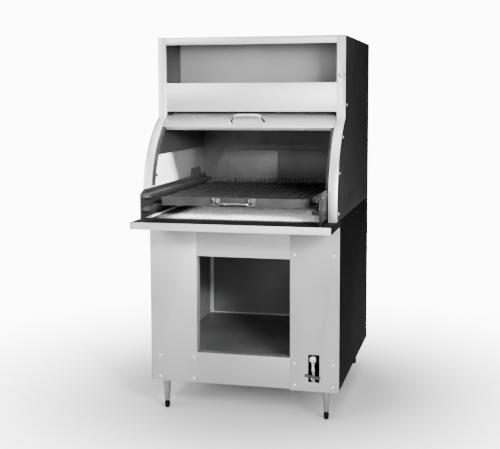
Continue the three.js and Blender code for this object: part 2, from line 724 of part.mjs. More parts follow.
// Top with a flue opening over the rear duct; its edges are turned down.
function hoodTop(group) {
  const plate = slab([-HALF, HALF], [UPPER_Y, BACK_Y], [HEIGHT - SHEET, HEIGHT]);
  const throat = slab([-182, 182], [428, 622], [HEIGHT - 22, HEIGHT - 1]);
  const opening = slab([-180, 180], [430, 620], [HEIGHT - 40, HEIGHT + 10]);
  piece(group, "top_panel", cutBy(joined(plate, throat), opening), blackPaint);
  const low = 1758;
  const band = [
    point(UPPER_Y, low),
    point(UPPER_Y + 20, low),
    point(UPPER_Y + 20, low + SHEET),
    point(UPPER_Y + SHEET, low + SHEET),
    point(UPPER_Y + SHEET, HOOD_HIGH),
    point(UPPER_Y, HOOD_HIGH),
  ];
  piece(group, "top_band", alongX(band, BETWEEN), stainless);
}

// Fixed front under the warming recess; its foot turns back over the door.
function frontPanel(group) {
  const low = 1440;
  const outline = [
    point(UPPER_Y, low),
    point(UPPER_Y + 75, low),
    point(UPPER_Y + 75, low + SHEET),
    point(UPPER_Y + SHEET, low + SHEET),
    point(UPPER_Y + SHEET, ROOF_Z),
    point(UPPER_Y, ROOF_Z),
  ];
  piece(group, "front_panel", alongX(outline, BETWEEN), stainless);
}

function warmingRecess(group) {
  const shelf = slab(BETWEEN, [UPPER_Y + SHEET + GAP, REAR_WALL_Y - GAP], [ROOF_Z - SHEET, ROOF_Z]);
  piece(group, "warming_shelf", shelf, greySteel);
  const back = slab(BETWEEN, [-18, -16], [ROOF_Z + GAP, HOOD_HIGH]);
  piece(group, "recess_back", back, greySteel);
}

function rearWall(group) {
  const wall = slab([-INNER_X, INNER_X], [REAR_WALL_Y, REAR_WALL_Y + SHEET], [HOOD_LOW, HOOD_HIGH]);
  const slot = slab([-286, 286], [REAR_WALL_Y - 10, REAR_WALL_Y + 10], [1221, 1251]);
  piece(group, "rear_wall", cutBy(wall, slot), darkLining);
  for (const [name, side] of sides) {
    const shield = slab(span(side, 1.5, 274), [REAR_WALL_Y - GAP - 3, REAR_WALL_Y - GAP], [1063, 1217]);
    piece(group, `rear_shield_${name}`, shield, greySteel);
  }
  const back = slab([-HALF, HALF], [BACK_Y - SHEET, BACK_Y], [HOOD_LOW, HOOD_HIGH]);
  piece(group, "hood_back", back, blackPaint);
}

// Curved channels that hold the door's edges, closed at the foot as a stop.
function doorTracks(group) {
  const turn = [TRACK_LOW, DOOR_HIGH + 1.5];
  const wall = 1.5;
  for (const [name, side] of sides) {
    const outerX = WALL_X - GAP;
    const full = span(side, outerX - TRACK_WIDTH, outerX);
    const web = span(side, outerX - wall, outerX);
    const track = joined(
      arcPlate(TRACK_INNER_R, TRACK_OUTER_R, turn, web),
      arcPlate(TRACK_INNER_R, TRACK_INNER_R + wall, turn, full),
      arcPlate(TRACK_OUTER_R - wall, TRACK_OUTER_R, turn, full),
      arcPlate(TRACK_INNER_R, TRACK_OUTER_R, [TRACK_LOW, TRACK_LOW + 0.25], full),
    );
    piece(group, `door_track_${name}`, track, rackSteel);
  }
}

// Push-pull knob of the flue damper: a domed cap on a long rod inside the right wall.
function damperKnob(group) {
  const front = -UPPER_Y;
  const reach = 90;
  const profile = [
    [0, front - reach],
    [DAMPER_ROD_R, front - reach],
    [DAMPER_ROD_R, front + GAP],
    [9, front + GAP],
    [9, front + 5],
    [14, front + 9],
    [13, front + 15],
    [8, front + 19],
    [0, front + 20],
  ];
  piece(group, "damper_knob", turnedFront(profile, 20), chrome).position.set(DAMPER_X, 0, DAMPER_Z);
}

// ---- Roll-top door ---------------------------------------------------------------------
// A curved skin runs in the tracks; the fascia in front of it carries the handle.
function door(group) {
  const skin = [-412.5, 412.5];
  const fascia = [-413.5, 413.5];
  const returns = [-400, 400];
  const lap = 0.2; // degrees that the plates run into the returns
  const geometry = joined(
    arcPlate(SKIN_R - SHEET, SKIN_R, [DOOR_LOW + lap, DOOR_HIGH], skin),
    arcPlate(FASCIA_R - SHEET, FASCIA_R, [DOOR_LOW + lap, FASCIA_HIGH - lap], fascia),
    arcPlate(SKIN_R - 8, FASCIA_R - 0.5, [DOOR_LOW, DOOR_LOW + 2 * lap], returns),
    arcPlate(SKIN_R - 1, FASCIA_R - 0.5, [FASCIA_HIGH - 2 * lap, FASCIA_HIGH], returns),
  );
  piece(group, "door", geometry, stainless);
}

function doorHandle(group) {
  const at = 57;
  const handle = bail({ span: 164, grip: 122, reach: 46, rodR: 6, baseR: 12 });
  handle.translate(0, 0, FASCIA_R + GAP).rotateX(rad(90 - at));
  piece(group, "door_handle", handle, chrome).position.set(0, AXIS_Y, AXIS_Z);
}

// ---- Assembly --------------------------------------------------------------------------
function assembly(name, ...builders) {
  const group = new THREE.Group();
  group.name = name;
  builders.forEach((build) => build(group));
  return group;
}

const charbroiler = new THREE.Group();
charbroiler.add(
  assembly("base", baseSides, baseBack, frontStiles, frontRails, baseFrame, compartment, frontShelf, legs),
  assembly("gas_train", supplyPipe, mainCock, cockLever, burnerValve, burnerKnob, gasManifold, burner),
  assembly("fire", firebox, fireBed),
  assembly("hood", hoodSides, hoodStrips, hoodLining, hoodTop, frontPanel, warmingRecess, rearWall),
  assembly("racks", ...sides.map(([name, side]) => (group) => rack(group, name, side))),
  assembly("grate_drawer", grate, grateHandle),
  assembly("roll_top", doorTracks, door, doorHandle),
  assembly("damper", damperKnob),
);

export default charbroiler;
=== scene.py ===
"""Looks of the floor-standing charbroiler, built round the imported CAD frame. Metres, +Z up."""
import json
import math

import bmesh
import bpy
from mathutils import Matrix, Vector


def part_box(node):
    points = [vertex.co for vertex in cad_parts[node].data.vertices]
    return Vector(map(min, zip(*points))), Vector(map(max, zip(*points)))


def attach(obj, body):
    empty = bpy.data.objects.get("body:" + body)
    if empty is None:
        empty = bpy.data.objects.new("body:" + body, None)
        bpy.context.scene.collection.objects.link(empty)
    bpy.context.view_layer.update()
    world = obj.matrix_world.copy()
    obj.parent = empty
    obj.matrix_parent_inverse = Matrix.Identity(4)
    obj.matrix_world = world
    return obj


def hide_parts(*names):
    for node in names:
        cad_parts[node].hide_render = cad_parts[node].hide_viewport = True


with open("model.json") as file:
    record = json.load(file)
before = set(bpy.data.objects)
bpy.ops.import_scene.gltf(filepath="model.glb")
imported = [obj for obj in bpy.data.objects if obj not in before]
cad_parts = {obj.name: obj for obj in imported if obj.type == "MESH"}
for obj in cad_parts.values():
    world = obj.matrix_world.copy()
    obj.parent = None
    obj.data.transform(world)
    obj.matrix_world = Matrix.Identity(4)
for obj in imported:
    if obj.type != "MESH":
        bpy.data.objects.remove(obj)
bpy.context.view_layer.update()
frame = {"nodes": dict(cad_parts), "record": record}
MM = 0.001

# ---- Camera ------------------------------------------------------------------------------
SENSOR = 36.0  # millimetres across the long side of the picture
LENS = 69.84
CAMERA_PLACE = Vector((1.0936, -4.7459, 1.5205))
CAMERA_YAW = 0.2386  # radians to the left of straight ahead
CAMERA_PITCH = 0.1048  # radians below the horizon
CAMERA_ROLL = -0.0032
CAMERA_SHIFT_Y = -0.056


def make_camera():
    """The photo's viewpoint, with a small shift that puts the object where the photo has it."""
    data = bpy.data.cameras.new("camera")
    data.sensor_width = SENSOR
    data.lens = LENS
    data.shift_y = CAMERA_SHIFT_Y
    camera = bpy.data.objects.new("camera", data)
    bpy.context.collection.objects.link(camera)
    turn = Matrix.Rotation(CAMERA_YAW, 4, "Z") @ Matrix.Rotation(math.pi / 2 - CAMERA_PITCH, 4, "X")
    camera.matrix_world = Matrix.Translation(CAMERA_PLACE) @ turn @ Matrix.Rotation(CAMERA_ROLL, 4, "Z")
    bpy.context.scene.camera = camera


# ---- Light -------------------------------------------------------------------------------
FLOOR_COLOUR = (0.93, 0.93, 0.925, 1)
FLOOR_ROUGHNESS = 0.9
FLOOR_HALF = 30.0
FLOOR_FADE_FROM = 0.5  # from the object's middle, where the floor starts to melt away
FLOOR_FADE_TO = 2.6
WHITE = (1, 1, 1, 1)
BACKDROP = 12.0  # brightness of the backdrop itself
FRONT_GLOW = 0.62  # brightness of the room in front of the object
REAR_GLOW = 0.16  # brightness of the room behind it
GLOW_FADE_FROM = -0.7  # Y of the direction where the front's brightness starts to fall
GLOW_FADE_TO = 0.5
MIDDLE = (0, 0, 1.0)
LEFT_LINER = (-0.41, -0.40, 1.11)
LIGHTS = (  # name, place, what it points at, width, height, watts, spread in degrees
    ("key", (-3.6, -4.6, 3.2), MIDDLE, 3.0, 3.0, 215, 180),
    ("front_fill", (1.0, -7.0, 2.0), MIDDLE, 5.0, 3.4, 200, 180),
    ("right_fill", (3.4, -4.2, 2.4), MIDDLE, 1.8, 2.2, 260, 180),
    ("chamber_fill", (1.5, -2.6, 1.8), LEFT_LINER, 0.5, 0.4, 24, 36),
    ("top", (0.0, -0.8, 5.2), MIDDLE, 4.5, 4.5, 300, 180),
    ("rear_fill", (-2.6, 5.6, 3.6), MIDDLE, 3.0, 3.0, 110, 180),
)


def camera_sees(nodes, links, factor, plain, seen):
    """A shader that turns to seen, by factor, only where the picture is taken of it directly."""
    path = nodes.new("ShaderNodeLightPath")
    choice = nodes.new("ShaderNodeMixShader")
    if factor is None:
        links.new(path.outputs["Is Camera Ray"], choice.inputs["Fac"])
    else:
        both = nodes.new("ShaderNodeMath")
        both.operation = "MULTIPLY"
        links.new(path.outputs["Is Camera Ray"], both.inputs[0])
        links.new(factor, both.inputs[1])
        links.new(both.outputs["Value"], choice.inputs["Fac"])
    links.new(plain, choice.inputs[1])
    links.new(seen, choice.inputs[2])
    return choice.outputs["Shader"]


def smooth_fade(nodes, links, value, start, end):
    """A node that goes smoothly from 0 to 1 as value goes from start to end."""
    fade = nodes.new("ShaderNodeMapRange")
    fade.interpolation_type = "SMOOTHSTEP"
    fade.inputs["From Min"].default_value = start
    fade.inputs["From Max"].default_value = end
    links.new(value, fade.inputs["Value"])
    return fade


def make_floor():
    """A pale floor that melts into the backdrop far from the object."""
    mesh = bpy.data.meshes.new("floor")
    corners = [(x * FLOOR_HALF, y * FLOOR_HALF, 0) for x, y in ((-1, -1), (1, -1), (1, 1), (-1, 1))]
    mesh.from_pydata(corners, [], [(0, 1, 2, 3)])
    floor = bpy.data.objects.new("floor", mesh)
    bpy.context.collection.objects.link(floor)
    material = bpy.data.materials.new("floor")
    material.use_nodes = True
    nodes = material.node_tree.nodes
    links = material.node_tree.links
    shader = nodes["Principled BSDF"]
    shader.inputs["Base Color"].default_value = FLOOR_COLOUR
    shader.inputs["Roughness"].default_value = FLOOR_ROUGHNESS
    place = nodes.new("ShaderNodeTexCoord")
    distance = nodes.new("ShaderNodeVectorMath")
    distance.operation = "LENGTH"
    links.new(place.outputs["Object"], distance.inputs[0])
    fade = smooth_fade(nodes, links, distance.outputs["Value"], FLOOR_FADE_FROM, FLOOR_FADE_TO)
    glow = nodes.new("ShaderNodeEmission")
    glow.inputs["Strength"].default_value = BACKDROP
    plain = shader.outputs["BSDF"]
    mixed = camera_sees(nodes, links, fade.outputs["Result"], plain, glow.outputs["Emission"])
    links.new(mixed, nodes["Material Output"].inputs["Surface"])
    mesh.materials.append(material)


def make_world():
    """A pale backdrop; the room that metal mirrors is bright in front and dim behind."""
    world = bpy.data.worlds.new("studio")
    world.use_nodes = True
    nodes = world.node_tree.nodes
    links = world.node_tree.links
    place = nodes.new("ShaderNodeTexCoord")
    split = nodes.new("ShaderNodeSeparateXYZ")
    links.new(place.outputs["Generated"], split.inputs["Vector"])
    fade = smooth_fade(nodes, links, split.outputs["Y"], GLOW_FADE_FROM, GLOW_FADE_TO)
    fade.inputs["To Min"].default_value = FRONT_GLOW
    fade.inputs["To Max"].default_value = REAR_GLOW
    room = nodes["Background"]
    links.new(fade.outputs["Result"], room.inputs["Strength"])
    backdrop = nodes.new("ShaderNodeBackground")
    backdrop.inputs["Strength"].default_value = BACKDROP
    backdrop.inputs["Color"].default_value = WHITE
    mixed = camera_sees(nodes, links, None, room.outputs["Background"], backdrop.outputs["Background"])
    links.new(mixed, nodes["World Output"].inputs["Surface"])
    bpy.context.scene.world = world


def make_lights():
    """Large soft lights round the object, and a small one that reaches into the chamber."""
    for name, place, target, width, height, watts, spread in LIGHTS:
        data = bpy.data.lights.new(name, "AREA")
        data.shape = "RECTANGLE"
        data.size = width
        data.size_y = height
        data.energy = watts
        data.spread = math.radians(spread)
        light = bpy.data.objects.new(name, data)
        bpy.context.collection.objects.link(light)
        light.location = place
        light.rotation_mode = "QUATERNION"
        light.rotation_quaternion = (Vector(place) - Vector(target)).to_track_quat("Z", "Y")


# ---- Materials ---------------------------------------------------------------------------
ACROSS = (0.6, 1, 14)  # grain that runs along X
UPRIGHT = (14, 14, 0.6)  # grain that runs along Z


class Recipe:
    """Builds one node material, a line to a step."""

    def __init__(self, name):
        self.material = bpy.data.materials.new(name)
        self.material.use_nodes = True
        self.nodes = self.material.node_tree.nodes
        self.links = self.material.node_tree.links
        self.shader = self.nodes["Principled BSDF"]
        self.place = self.nodes.new("ShaderNodeTexCoord").outputs["Object"]

    def stretched(self, scale):
        """The object's coordinates, scaled on each axis."""
        node = self.nodes.new("ShaderNodeMapping")
        node.inputs["Scale"].default_value = scale
        self.links.new(self.place, node.inputs["Vector"])
        return node.outputs["Vector"]

    def part(self, axis, vector=None):
        """One coordinate of a vector, or of the place on the object."""
        node = self.nodes.new("ShaderNodeSeparateXYZ")
        self.links.new(self.place if vector is None else vector, node.inputs["Vector"])
        return node.outputs[axis]

    def noise(self, scale, detail=3.0, rough=0.55, along=None):
        """Fractal noise about its middle of 0.5, stretched along an axis if along is given."""
        node = self.nodes.new("ShaderNodeTexNoise")
        node.inputs["Scale"].default_value = scale
        node.inputs["Detail"].default_value = detail
        node.inputs["Roughness"].default_value = rough
        source = self.place if along is None else self.stretched(along)
        self.links.new(source, node.inputs["Vector"])
        return node.outputs["Fac"]

    def ramp(self, value, low, high, start=0.3, end=0.7):
        """A colour between low and high, as value goes from start to end."""
        node = self.nodes.new("ShaderNodeValToRGB")
        node.color_ramp.elements[0].position = start
        node.color_ramp.elements[0].color = (*low, 1)
        node.color_ramp.elements[1].position = end
        node.color_ramp.elements[1].color = (*high, 1)
        self.links.new(value, node.inputs["Fac"])
        return node.outputs["Color"]

    def spread(self, value, low, high, start=0.3, end=0.7):
        """A number between low and high, as value goes from start to end."""
        node = self.nodes.new("ShaderNodeMapRange")
        node.inputs["From Min"].default_value = start
        node.inputs["From Max"].default_value = end
        node.inputs["To Min"].default_value = low
        node.inputs["To Max"].default_value = high
        self.links.new(value, node.inputs["Value"])
        return node.outputs["Result"]

    def mixed(self, factor, first, second):
        """The first colour where factor is 0, the second where it is 1."""
        node = self.nodes.new("ShaderNodeMix")
        node.data_type = "RGBA"
        self.links.new(factor, node.inputs["Factor"])
        self.links.new(first, node.inputs["A"])
        self.links.new(second, node.inputs["B"])
        return node.outputs["Result"]

    def colour(self, socket):
        self.links.new(socket, self.shader.inputs["Base Color"])

    def roughness(self, socket):
        self.links.new(socket, self.shader.inputs["Roughness"])

    def metal(self, amount):
        self.shader.inputs["Metallic"].default_value = amount

    def gloss(self, amount):
        self.shader.inputs["Specular IOR Level"].default_value = amount

    def bump(self, socket, strength, distance=0.5 * MM):
        node = self.nodes.new("ShaderNodeBump")
        node.inputs["Strength"].default_value = strength
        node.inputs["Distance"].default_value = distance
        self.links.new(socket, node.inputs["Height"])
        self.links.new(node.outputs["Normal"], self.shader.inputs["Normal"])


def grey(level):
    """A very slightly cool grey."""
    return (level, level, level * 1.01)


def brushed(name, along, bright=0.72, dark=0.64, smooth=0.36, rough=0.46, metal=0.92):
    """Satin stainless with its grain along one axis."""
    recipe = Recipe(name)
    grain = recipe.noise(60, 4, 0.6, along)
    cloud = recipe.noise(2.2, 2, 0.5)
    recipe.metal(metal)
    recipe.colour(recipe.ramp(cloud, grey(dark), grey(bright)))
    recipe.roughness(recipe.spread(grain, smooth, rough))
    recipe.bump(grain, 0.06)
    return recipe.material


def enamel(name, level, smooth, rough, gloss=0.3):
    """Baked enamel with a fine orange-peel surface and a faint cloudiness."""
    recipe = Recipe(name)
    speck = recipe.noise(420, 3, 0.6)
    cloud = recipe.noise(3.1, 2, 0.5)
    recipe.gloss(gloss)
    recipe.colour(recipe.ramp(cloud, grey(level * 0.8), grey(level * 1.25)))
    recipe.roughness(recipe.spread(speck, smooth, rough))
    recipe.bump(speck, 0.05)
    return recipe.material


def worn_steel(name, bright, dark, smooth, rough, scale=9.0, metal=1.0, gloss=0.5):
    """Steel with patches of stain from heat and use."""
    recipe = Recipe(name)
    stain = recipe.noise(scale, 5, 0.62)
    fine = recipe.noise(260, 3, 0.6)
    recipe.gloss(gloss)
    recipe.metal(metal)
    recipe.colour(recipe.ramp(stain, grey(dark), grey(bright)))
    recipe.roughness(recipe.spread(fine, smooth, rough))
    recipe.bump(fine, 0.08)
    return recipe.material


def steel_with_painted_top_highlight(name):
    """Sooty steel with a painted highlight: lighter on the faces that look up."""
    recipe = Recipe(name)
    stain = recipe.noise(11, 5, 0.62)
    fine = recipe.noise(260, 3, 0.6)
    facing = recipe.nodes.new("ShaderNodeNewGeometry").outputs["Normal"]
    # painted highlight: faces that look up get a lighter copy of the soot colour
    top_highlight_mask = recipe.spread(recipe.part("Z", facing), 0, 1, 0.3, 0.9)
    recipe.gloss(0.12)
    recipe.metal(0.1)
    sooty = recipe.ramp(stain, grey(0.008), grey(0.020))
    # the lighter colour of the painted highlight
    painted_top_highlight = recipe.ramp(stain, grey(0.013), grey(0.045))
    recipe.colour(recipe.mixed(top_highlight_mask, sooty, painted_top_highlight))
    recipe.roughness(recipe.spread(fine, 0.42, 0.55))
    recipe.bump(fine, 0.08)
    return recipe.material


def cast(name):
    """Black cast iron with a sandy skin."""
    recipe = Recipe(name)
    grain = recipe.noise(520, 4, 0.65)
    cloud = recipe.noise(14, 4, 0.6)
    recipe.metal(0.15)
    recipe.gloss(0.22)
    recipe.colour(recipe.ramp(cloud, grey(0.008), grey(0.022)))
    recipe.roughness(recipe.spread(grain, 0.55, 0.72))
    recipe.bump(grain, 0.25)
    return recipe.material


SHADED_HOLLOW_DEPTH = 6.5 * MM  # below the tiles' top, where their hollows are painted in shade
CREST_DEPTH = 3.5 * MM  # from here up they have no painted shade
SHADOW_FULL_X = -0.34  # left of this the tiles are painted dark, a painted shadow
SHADOW_CLEAR_X = -0.27


def ceramic_with_painted_shade(name):
    """Pale ceramic with painted shade in the hollows and a painted shadow along the left side."""
    recipe = Recipe(name)
    grain = recipe.noise(240, 5, 0.7)
    cloud = recipe.noise(70, 4, 0.6)
    # painted shade: the hollows darker than the crests
    shaded_hollow = recipe.ramp(cloud, grey(0.16), grey(0.3))
    crest = recipe.ramp(cloud, grey(0.85), grey(0.97))
    painted_left_shadow = recipe.ramp(cloud, grey(0.03), grey(0.08))
    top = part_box("briquettes_front")[1].z
    raised = recipe.spread(recipe.part("Z"), 0, 1, top - SHADED_HOLLOW_DEPTH, top - CREST_DEPTH)
    # painted shadow along the tiles' left side
    away = recipe.spread(recipe.part("X"), 0, 1, SHADOW_FULL_X, SHADOW_CLEAR_X)
    recipe.colour(recipe.mixed(away, painted_left_shadow, recipe.mixed(raised, shaded_hollow, crest)))
    recipe.roughness(recipe.spread(grain, 0.75, 0.95))
    recipe.bump(grain, 0.5, 1.2 * MM)
    return recipe.material


SHADOW_EDGE_SLANT = 0.69  # how far forward the painted shadow's edge comes for each metre up
SHADOW_EDGE_FROM = 0.61  # Y plus the slant times Z, where the bright painted reflection gives way to painted shadow
SHADOW_EDGE_TO = 0.70
SOOT_AND_SHADE_FROM = 0.17  # Y where it starts to go black, sooty and in painted shade
SOOT_AND_SHADE_TO = 0.24


def liner_with_painted_light(name):
    """Bright lining by the mouth of the chamber as a painted reflection, painted shadow behind a slanted
    edge further in, black towards the back, sooty and in painted shade.
    """
    recipe = Recipe(name)
    slant = recipe.nodes.new("ShaderNodeMath")
    slant.operation = "MULTIPLY_ADD"
    recipe.links.new(recipe.part("Z"), slant.inputs[0])
    slant.inputs[1].default_value = SHADOW_EDGE_SLANT
    recipe.links.new(recipe.part("Y"), slant.inputs[2])
    cloud = recipe.noise(6, 4, 0.6)
    fine = recipe.noise(60, 4, 0.6, UPRIGHT)
    # painted shadow: the lining darkens behind a slanted edge
    shadow_edge = recipe.spread(slant.outputs["Value"], 0, 1, SHADOW_EDGE_FROM, SHADOW_EDGE_TO)
    soot_and_shade = recipe.spread(recipe.part("Y"), 0, 1, SOOT_AND_SHADE_FROM, SOOT_AND_SHADE_TO)
    # the bright colour is a painted reflection of the light at the chamber's mouth
    bright = recipe.ramp(cloud, grey(0.88), grey(0.95))
    painted_shadow = recipe.ramp(cloud, grey(0.045), grey(0.085))
    black = recipe.ramp(cloud, grey(0.03), grey(0.06))
    recipe.colour(recipe.mixed(soot_and_shade, recipe.mixed(shadow_edge, bright, painted_shadow), black))
    recipe.roughness(recipe.spread(fine, 0.36, 0.46))
    recipe.bump(fine, 0.05)
    return recipe.material


def chrome(name):
    """Slightly clouded plating."""
    recipe = Recipe(name)
    cloud = recipe.noise(35, 3, 0.5)
    recipe.metal(1.0)
    recipe.colour(recipe.ramp(cloud, grey(0.36), grey(0.48)))
    recipe.roughness(recipe.spread(cloud, 0.08, 0.16))
    recipe.bump(cloud, 0.02)
    return recipe.material


STAINLESS_ACROSS = brushed("stainless_across", ACROSS)
STAINLESS_UPRIGHT = brushed("stainless_upright", UPRIGHT)
BASE_FRONT = brushed("base_front", UPRIGHT, bright=0.45, dark=0.37, smooth=0.40, rough=0.50, metal=0.72)
BRIGHT = brushed("bright_steel", UPRIGHT, bright=0.95, dark=0.88, smooth=0.3, rough=0.4, metal=0.4)
LEG = brushed("leg_satin", UPRIGHT, bright=0.30, dark=0.22, smooth=0.24, rough=0.32, metal=1.0)

ENAMEL = enamel("black_enamel", 0.018, smooth=0.5, rough=0.6, gloss=0.08)
# painted shade: a darker copy of the hood's black enamel for the base's sides and back
BASE_ENAMEL_SHADED = enamel("base_enamel_painted_shade", 0.005, smooth=0.6, rough=0.7, gloss=0.02)
SHELF_ENAMEL = enamel("shelf_enamel", 0.005, smooth=0.6, rough=0.7, gloss=0.03)
COMPARTMENT = enamel("compartment_enamel", 0.1, smooth=0.42, rough=0.5)
# painted light: a lighter copy of the compartment's enamel for its left wall
COMPARTMENT_PAINTED_LIT = enamel("compartment_painted_lit", 0.12, smooth=0.42, rough=0.5)
# painted shade: a darker copy of the compartment's enamel for its floor; its higher gloss is the floor's
# own
COMPARTMENT_FLOOR_SHADED = enamel("compartment_floor_painted_shade", 0.075, smooth=0.38, rough=0.46, gloss=0.4)

DARK = worn_steel("dark_lining", 0.035, 0.018, 0.4, 0.55, scale=5, metal=0.5)
GREY = worn_steel("grey_panel", 0.08, 0.055, 0.42, 0.55, scale=4, metal=0.6)
# painted highlight: the folds are coloured pale grey where the enamel catches the light
FOLD_HIGHLIGHT = worn_steel("fold_painted_highlight", 0.42, 0.32, 0.4, 0.5, scale=6, metal=0.3)
RECESS = worn_steel("recess_grey", 0.24, 0.2, 0.5, 0.6, scale=2, metal=0.6)
SOOTY = worn_steel("sooty_steel", 0.03, 0.014, 0.5, 0.6, scale=12, metal=0.2, gloss=0.2)
PULL = worn_steel("cast_pull", 0.26, 0.1, 0.14, 0.24, scale=40)
REAR = worn_steel("rear_lining", 0.062, 0.036, 0.35, 0.5, scale=5, metal=0.5)
BAFFLE = worn_steel("baffle_steel", 0.042, 0.026, 0.4, 0.5, scale=5, metal=0.3)
LEVER = worn_steel("lever_steel", 0.09, 0.04, 0.3, 0.4, scale=30, metal=0.7)
# painted reflections on the plating: a dark copy for the handle's legs and the door rivets, a bright copy
# as painted highlights
CHROME_PAINTED_DARK = worn_steel("chrome_painted_dark", 0.1, 0.05, 0.12, 0.2, scale=20)
CHROME_PAINTED_BRIGHT = worn_steel("chrome_painted_bright", 0.85, 0.7, 0.12, 0.2, scale=20)
PLAIN = worn_steel("plain_steel", 0.45, 0.3, 0.32, 0.5)

IRON = cast("cast_iron")
RACK = steel_with_painted_top_highlight("rack_steel")
LINER = liner_with_painted_light("liner")
CERAMIC = ceramic_with_painted_shade("ceramic")
CHROME = chrome("chrome")

# Each slot's material, and how wide its nodes' rounded edges are.
BY_SLOT = {
    "black_enamel": (ENAMEL, 0.8 * MM),
    "stainless": (STAINLESS_ACROSS, 0.8 * MM),
    "bright_liner": (LINER, 0),
    "dark_lining": (DARK, 0.5 * MM),
    "grey_panel": (GREY, 0.4 * MM),
    "cast_iron": (IRON, 0.8 * MM),
    "rack_steel": (RACK, 0.6 * MM),
    "ceramic": (CERAMIC, 0.6 * MM),
    "plain_steel": (PLAIN, 0.5 * MM),
    "chrome": (CHROME, 0.5 * MM),
}
# Nodes that look a little unlike the rest of their slot.
OWN_LOOK = (
    (STAINLESS_UPRIGHT, "hood_strip_left hood_strip_right damper_knob"),
    (BASE_FRONT, "front_stile_left front_stile_right top_rail bottom_rail"),
    (BASE_ENAMEL_SHADED, "base_side_left base_side_right base_back"),
    (SHELF_ENAMEL, "front_shelf foot_front_left foot_front_right foot_back_left foot_back_right"),
    (LEG, "leg_front_left leg_front_right leg_back_left leg_back_right"),
    (COMPARTMENT, "compartment_top compartment_back compartment_side_right"),
    (COMPARTMENT_PAINTED_LIT, "compartment_side_left"),
    (COMPARTMENT_FLOOR_SHADED, "compartment_floor"),
    (RECESS, "recess_back warming_shelf"),
    (REAR, "rear_wall"),
    (SOOTY, "briquette_tray firebox"),
    (PULL, "grate_handle"),
)
BY_NODE = {name: look for look, names in OWN_LOOK for name in names.split()}


# ---- Modifiers for the CAD nodes -----------------------------------------------------------
SMOOTH_ANGLE = math.radians(24)
BEVEL_ANGLE = math.radians(35)
FLAT_ANGLE = math.radians(0.5)
MERGE = 0.01 * MM


def node_group(name):
    """An empty geometry group, with the sockets its chain of nodes starts from and ends at."""
    group = bpy.data.node_groups.new(name, "GeometryNodeTree")
    group.interface.new_socket("Geometry", in_out="INPUT", socket_type="NodeSocketGeometry")
    group.interface.new_socket("Geometry", in_out="OUTPUT", socket_type="NodeSocketGeometry")
    start = group.nodes.new("NodeGroupInput")
    end = group.nodes.new("NodeGroupOutput")
    return group, start.outputs[0], end.inputs[0]


def welding_group():
    """Joins the triangles' loose corners and drops their stored normals."""
    group, start, end = node_group("weld")
    merge = group.nodes.new("GeometryNodeMergeByDistance")
    merge.inputs["Distance"].default_value = MERGE
    forget = group.nodes.new("GeometryNodeRemoveAttribute")
    forget.inputs["Name"].default_value = "custom_normal"
    group.links.new(start, merge.inputs["Geometry"])
    group.links.new(merge.outputs["Geometry"], forget.inputs["Geometry"])
    group.links.new(forget.outputs["Geometry"], end)
    return group


def smoothing_group():
    """Smooth faces, sharp where two meet at more than SMOOTH_ANGLE."""
    group, start, end = node_group("smooth_by_angle")
    faces = group.nodes.new("GeometryNodeSetShadeSmooth")
    faces.domain = "FACE"
    edges = group.nodes.new("GeometryNodeSetShadeSmooth")
    edges.domain = "EDGE"
    edges.inputs["Shade Smooth"].default_value = False
    angle = group.nodes.new("GeometryNodeInputMeshEdgeAngle")
    sharp = group.nodes.new("FunctionNodeCompare")
    sharp.data_type = "FLOAT"
    sharp.operation = "GREATER_THAN"
    sharp.inputs["B"].default_value = SMOOTH_ANGLE
    group.links.new(angle.outputs["Unsigned Angle"], sharp.inputs["A"])
    group.links.new(sharp.outputs["Result"], edges.inputs["Selection"])
    group.links.new(start, faces.inputs["Geometry"])
    group.links.new(faces.outputs["Geometry"], edges.inputs["Geometry"])
    group.links.new(edges.outputs["Geometry"], end)
    return group


WELD = welding_group()
SMOOTH = smoothing_group()


def add_group(obj, group):
    """Puts a geometry group on an object as a modifier."""
    modifier = obj.modifiers.new(group.name, "NODES")
    modifier.node_group = group


def soften(obj, width):
    """Small rounded edges, as folded and cast metal has."""
    add_group(obj, WELD)
    if width:
        flat = obj.modifiers.new("flat_faces", "DECIMATE")
        flat.decimate_type = "DISSOLVE"
        flat.angle_limit = FLAT_ANGLE
        bevel = obj.modifiers.new("edges", "BEVEL")
        bevel.width = width
        bevel.segments = 2
        bevel.limit_method = "ANGLE"
        bevel.angle_limit = BEVEL_ANGLE
    add_group(obj, SMOOTH)


def dress_nodes():
    """Gives every CAD node its material and its rounded edges."""
    slots = {row["node"]: row["material_slot"] for row in frame["record"]["subparts"]}
    for name, obj in frame["nodes"].items():
        material, edge = BY_SLOT[slots[name]]
        for holder in obj.material_slots:
            holder.material = BY_NODE.get(name, material)
        soften(obj, edge)


# ---- New pieces ----------------------------------------------------------------------------
SIDEWAYS = Vector((0, 1, 0))
UP = (0, 0, 1)
FRONT = (0, -1, 0)
RIGHT = (1, 0, 0)
LEFT = (-1, 0, 0)


def add_piece(name, points, faces, material, body, slot):
    """A mesh piece in the given material that rides on a CAD body; its slot is not used."""
    mesh = bpy.data.meshes.new(name)
    mesh.from_pydata([tuple(p) for p in points], [], faces)
    mesh.materials.append(material)
    solid = bmesh.new()
    solid.from_mesh(mesh)
    bmesh.ops.recalc_face_normals(solid, faces=solid.faces)
    solid.to_mesh(mesh)
    solid.free()
    obj = bpy.data.objects.new(name, mesh)
    bpy.context.collection.objects.link(obj)
    add_group(obj, SMOOTH)
    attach(obj, body)
    return obj


def in_metres(profile):
    """A profile of radius and height, from millimetres."""
    return [(radius * MM, height * MM) for radius, height in profile]


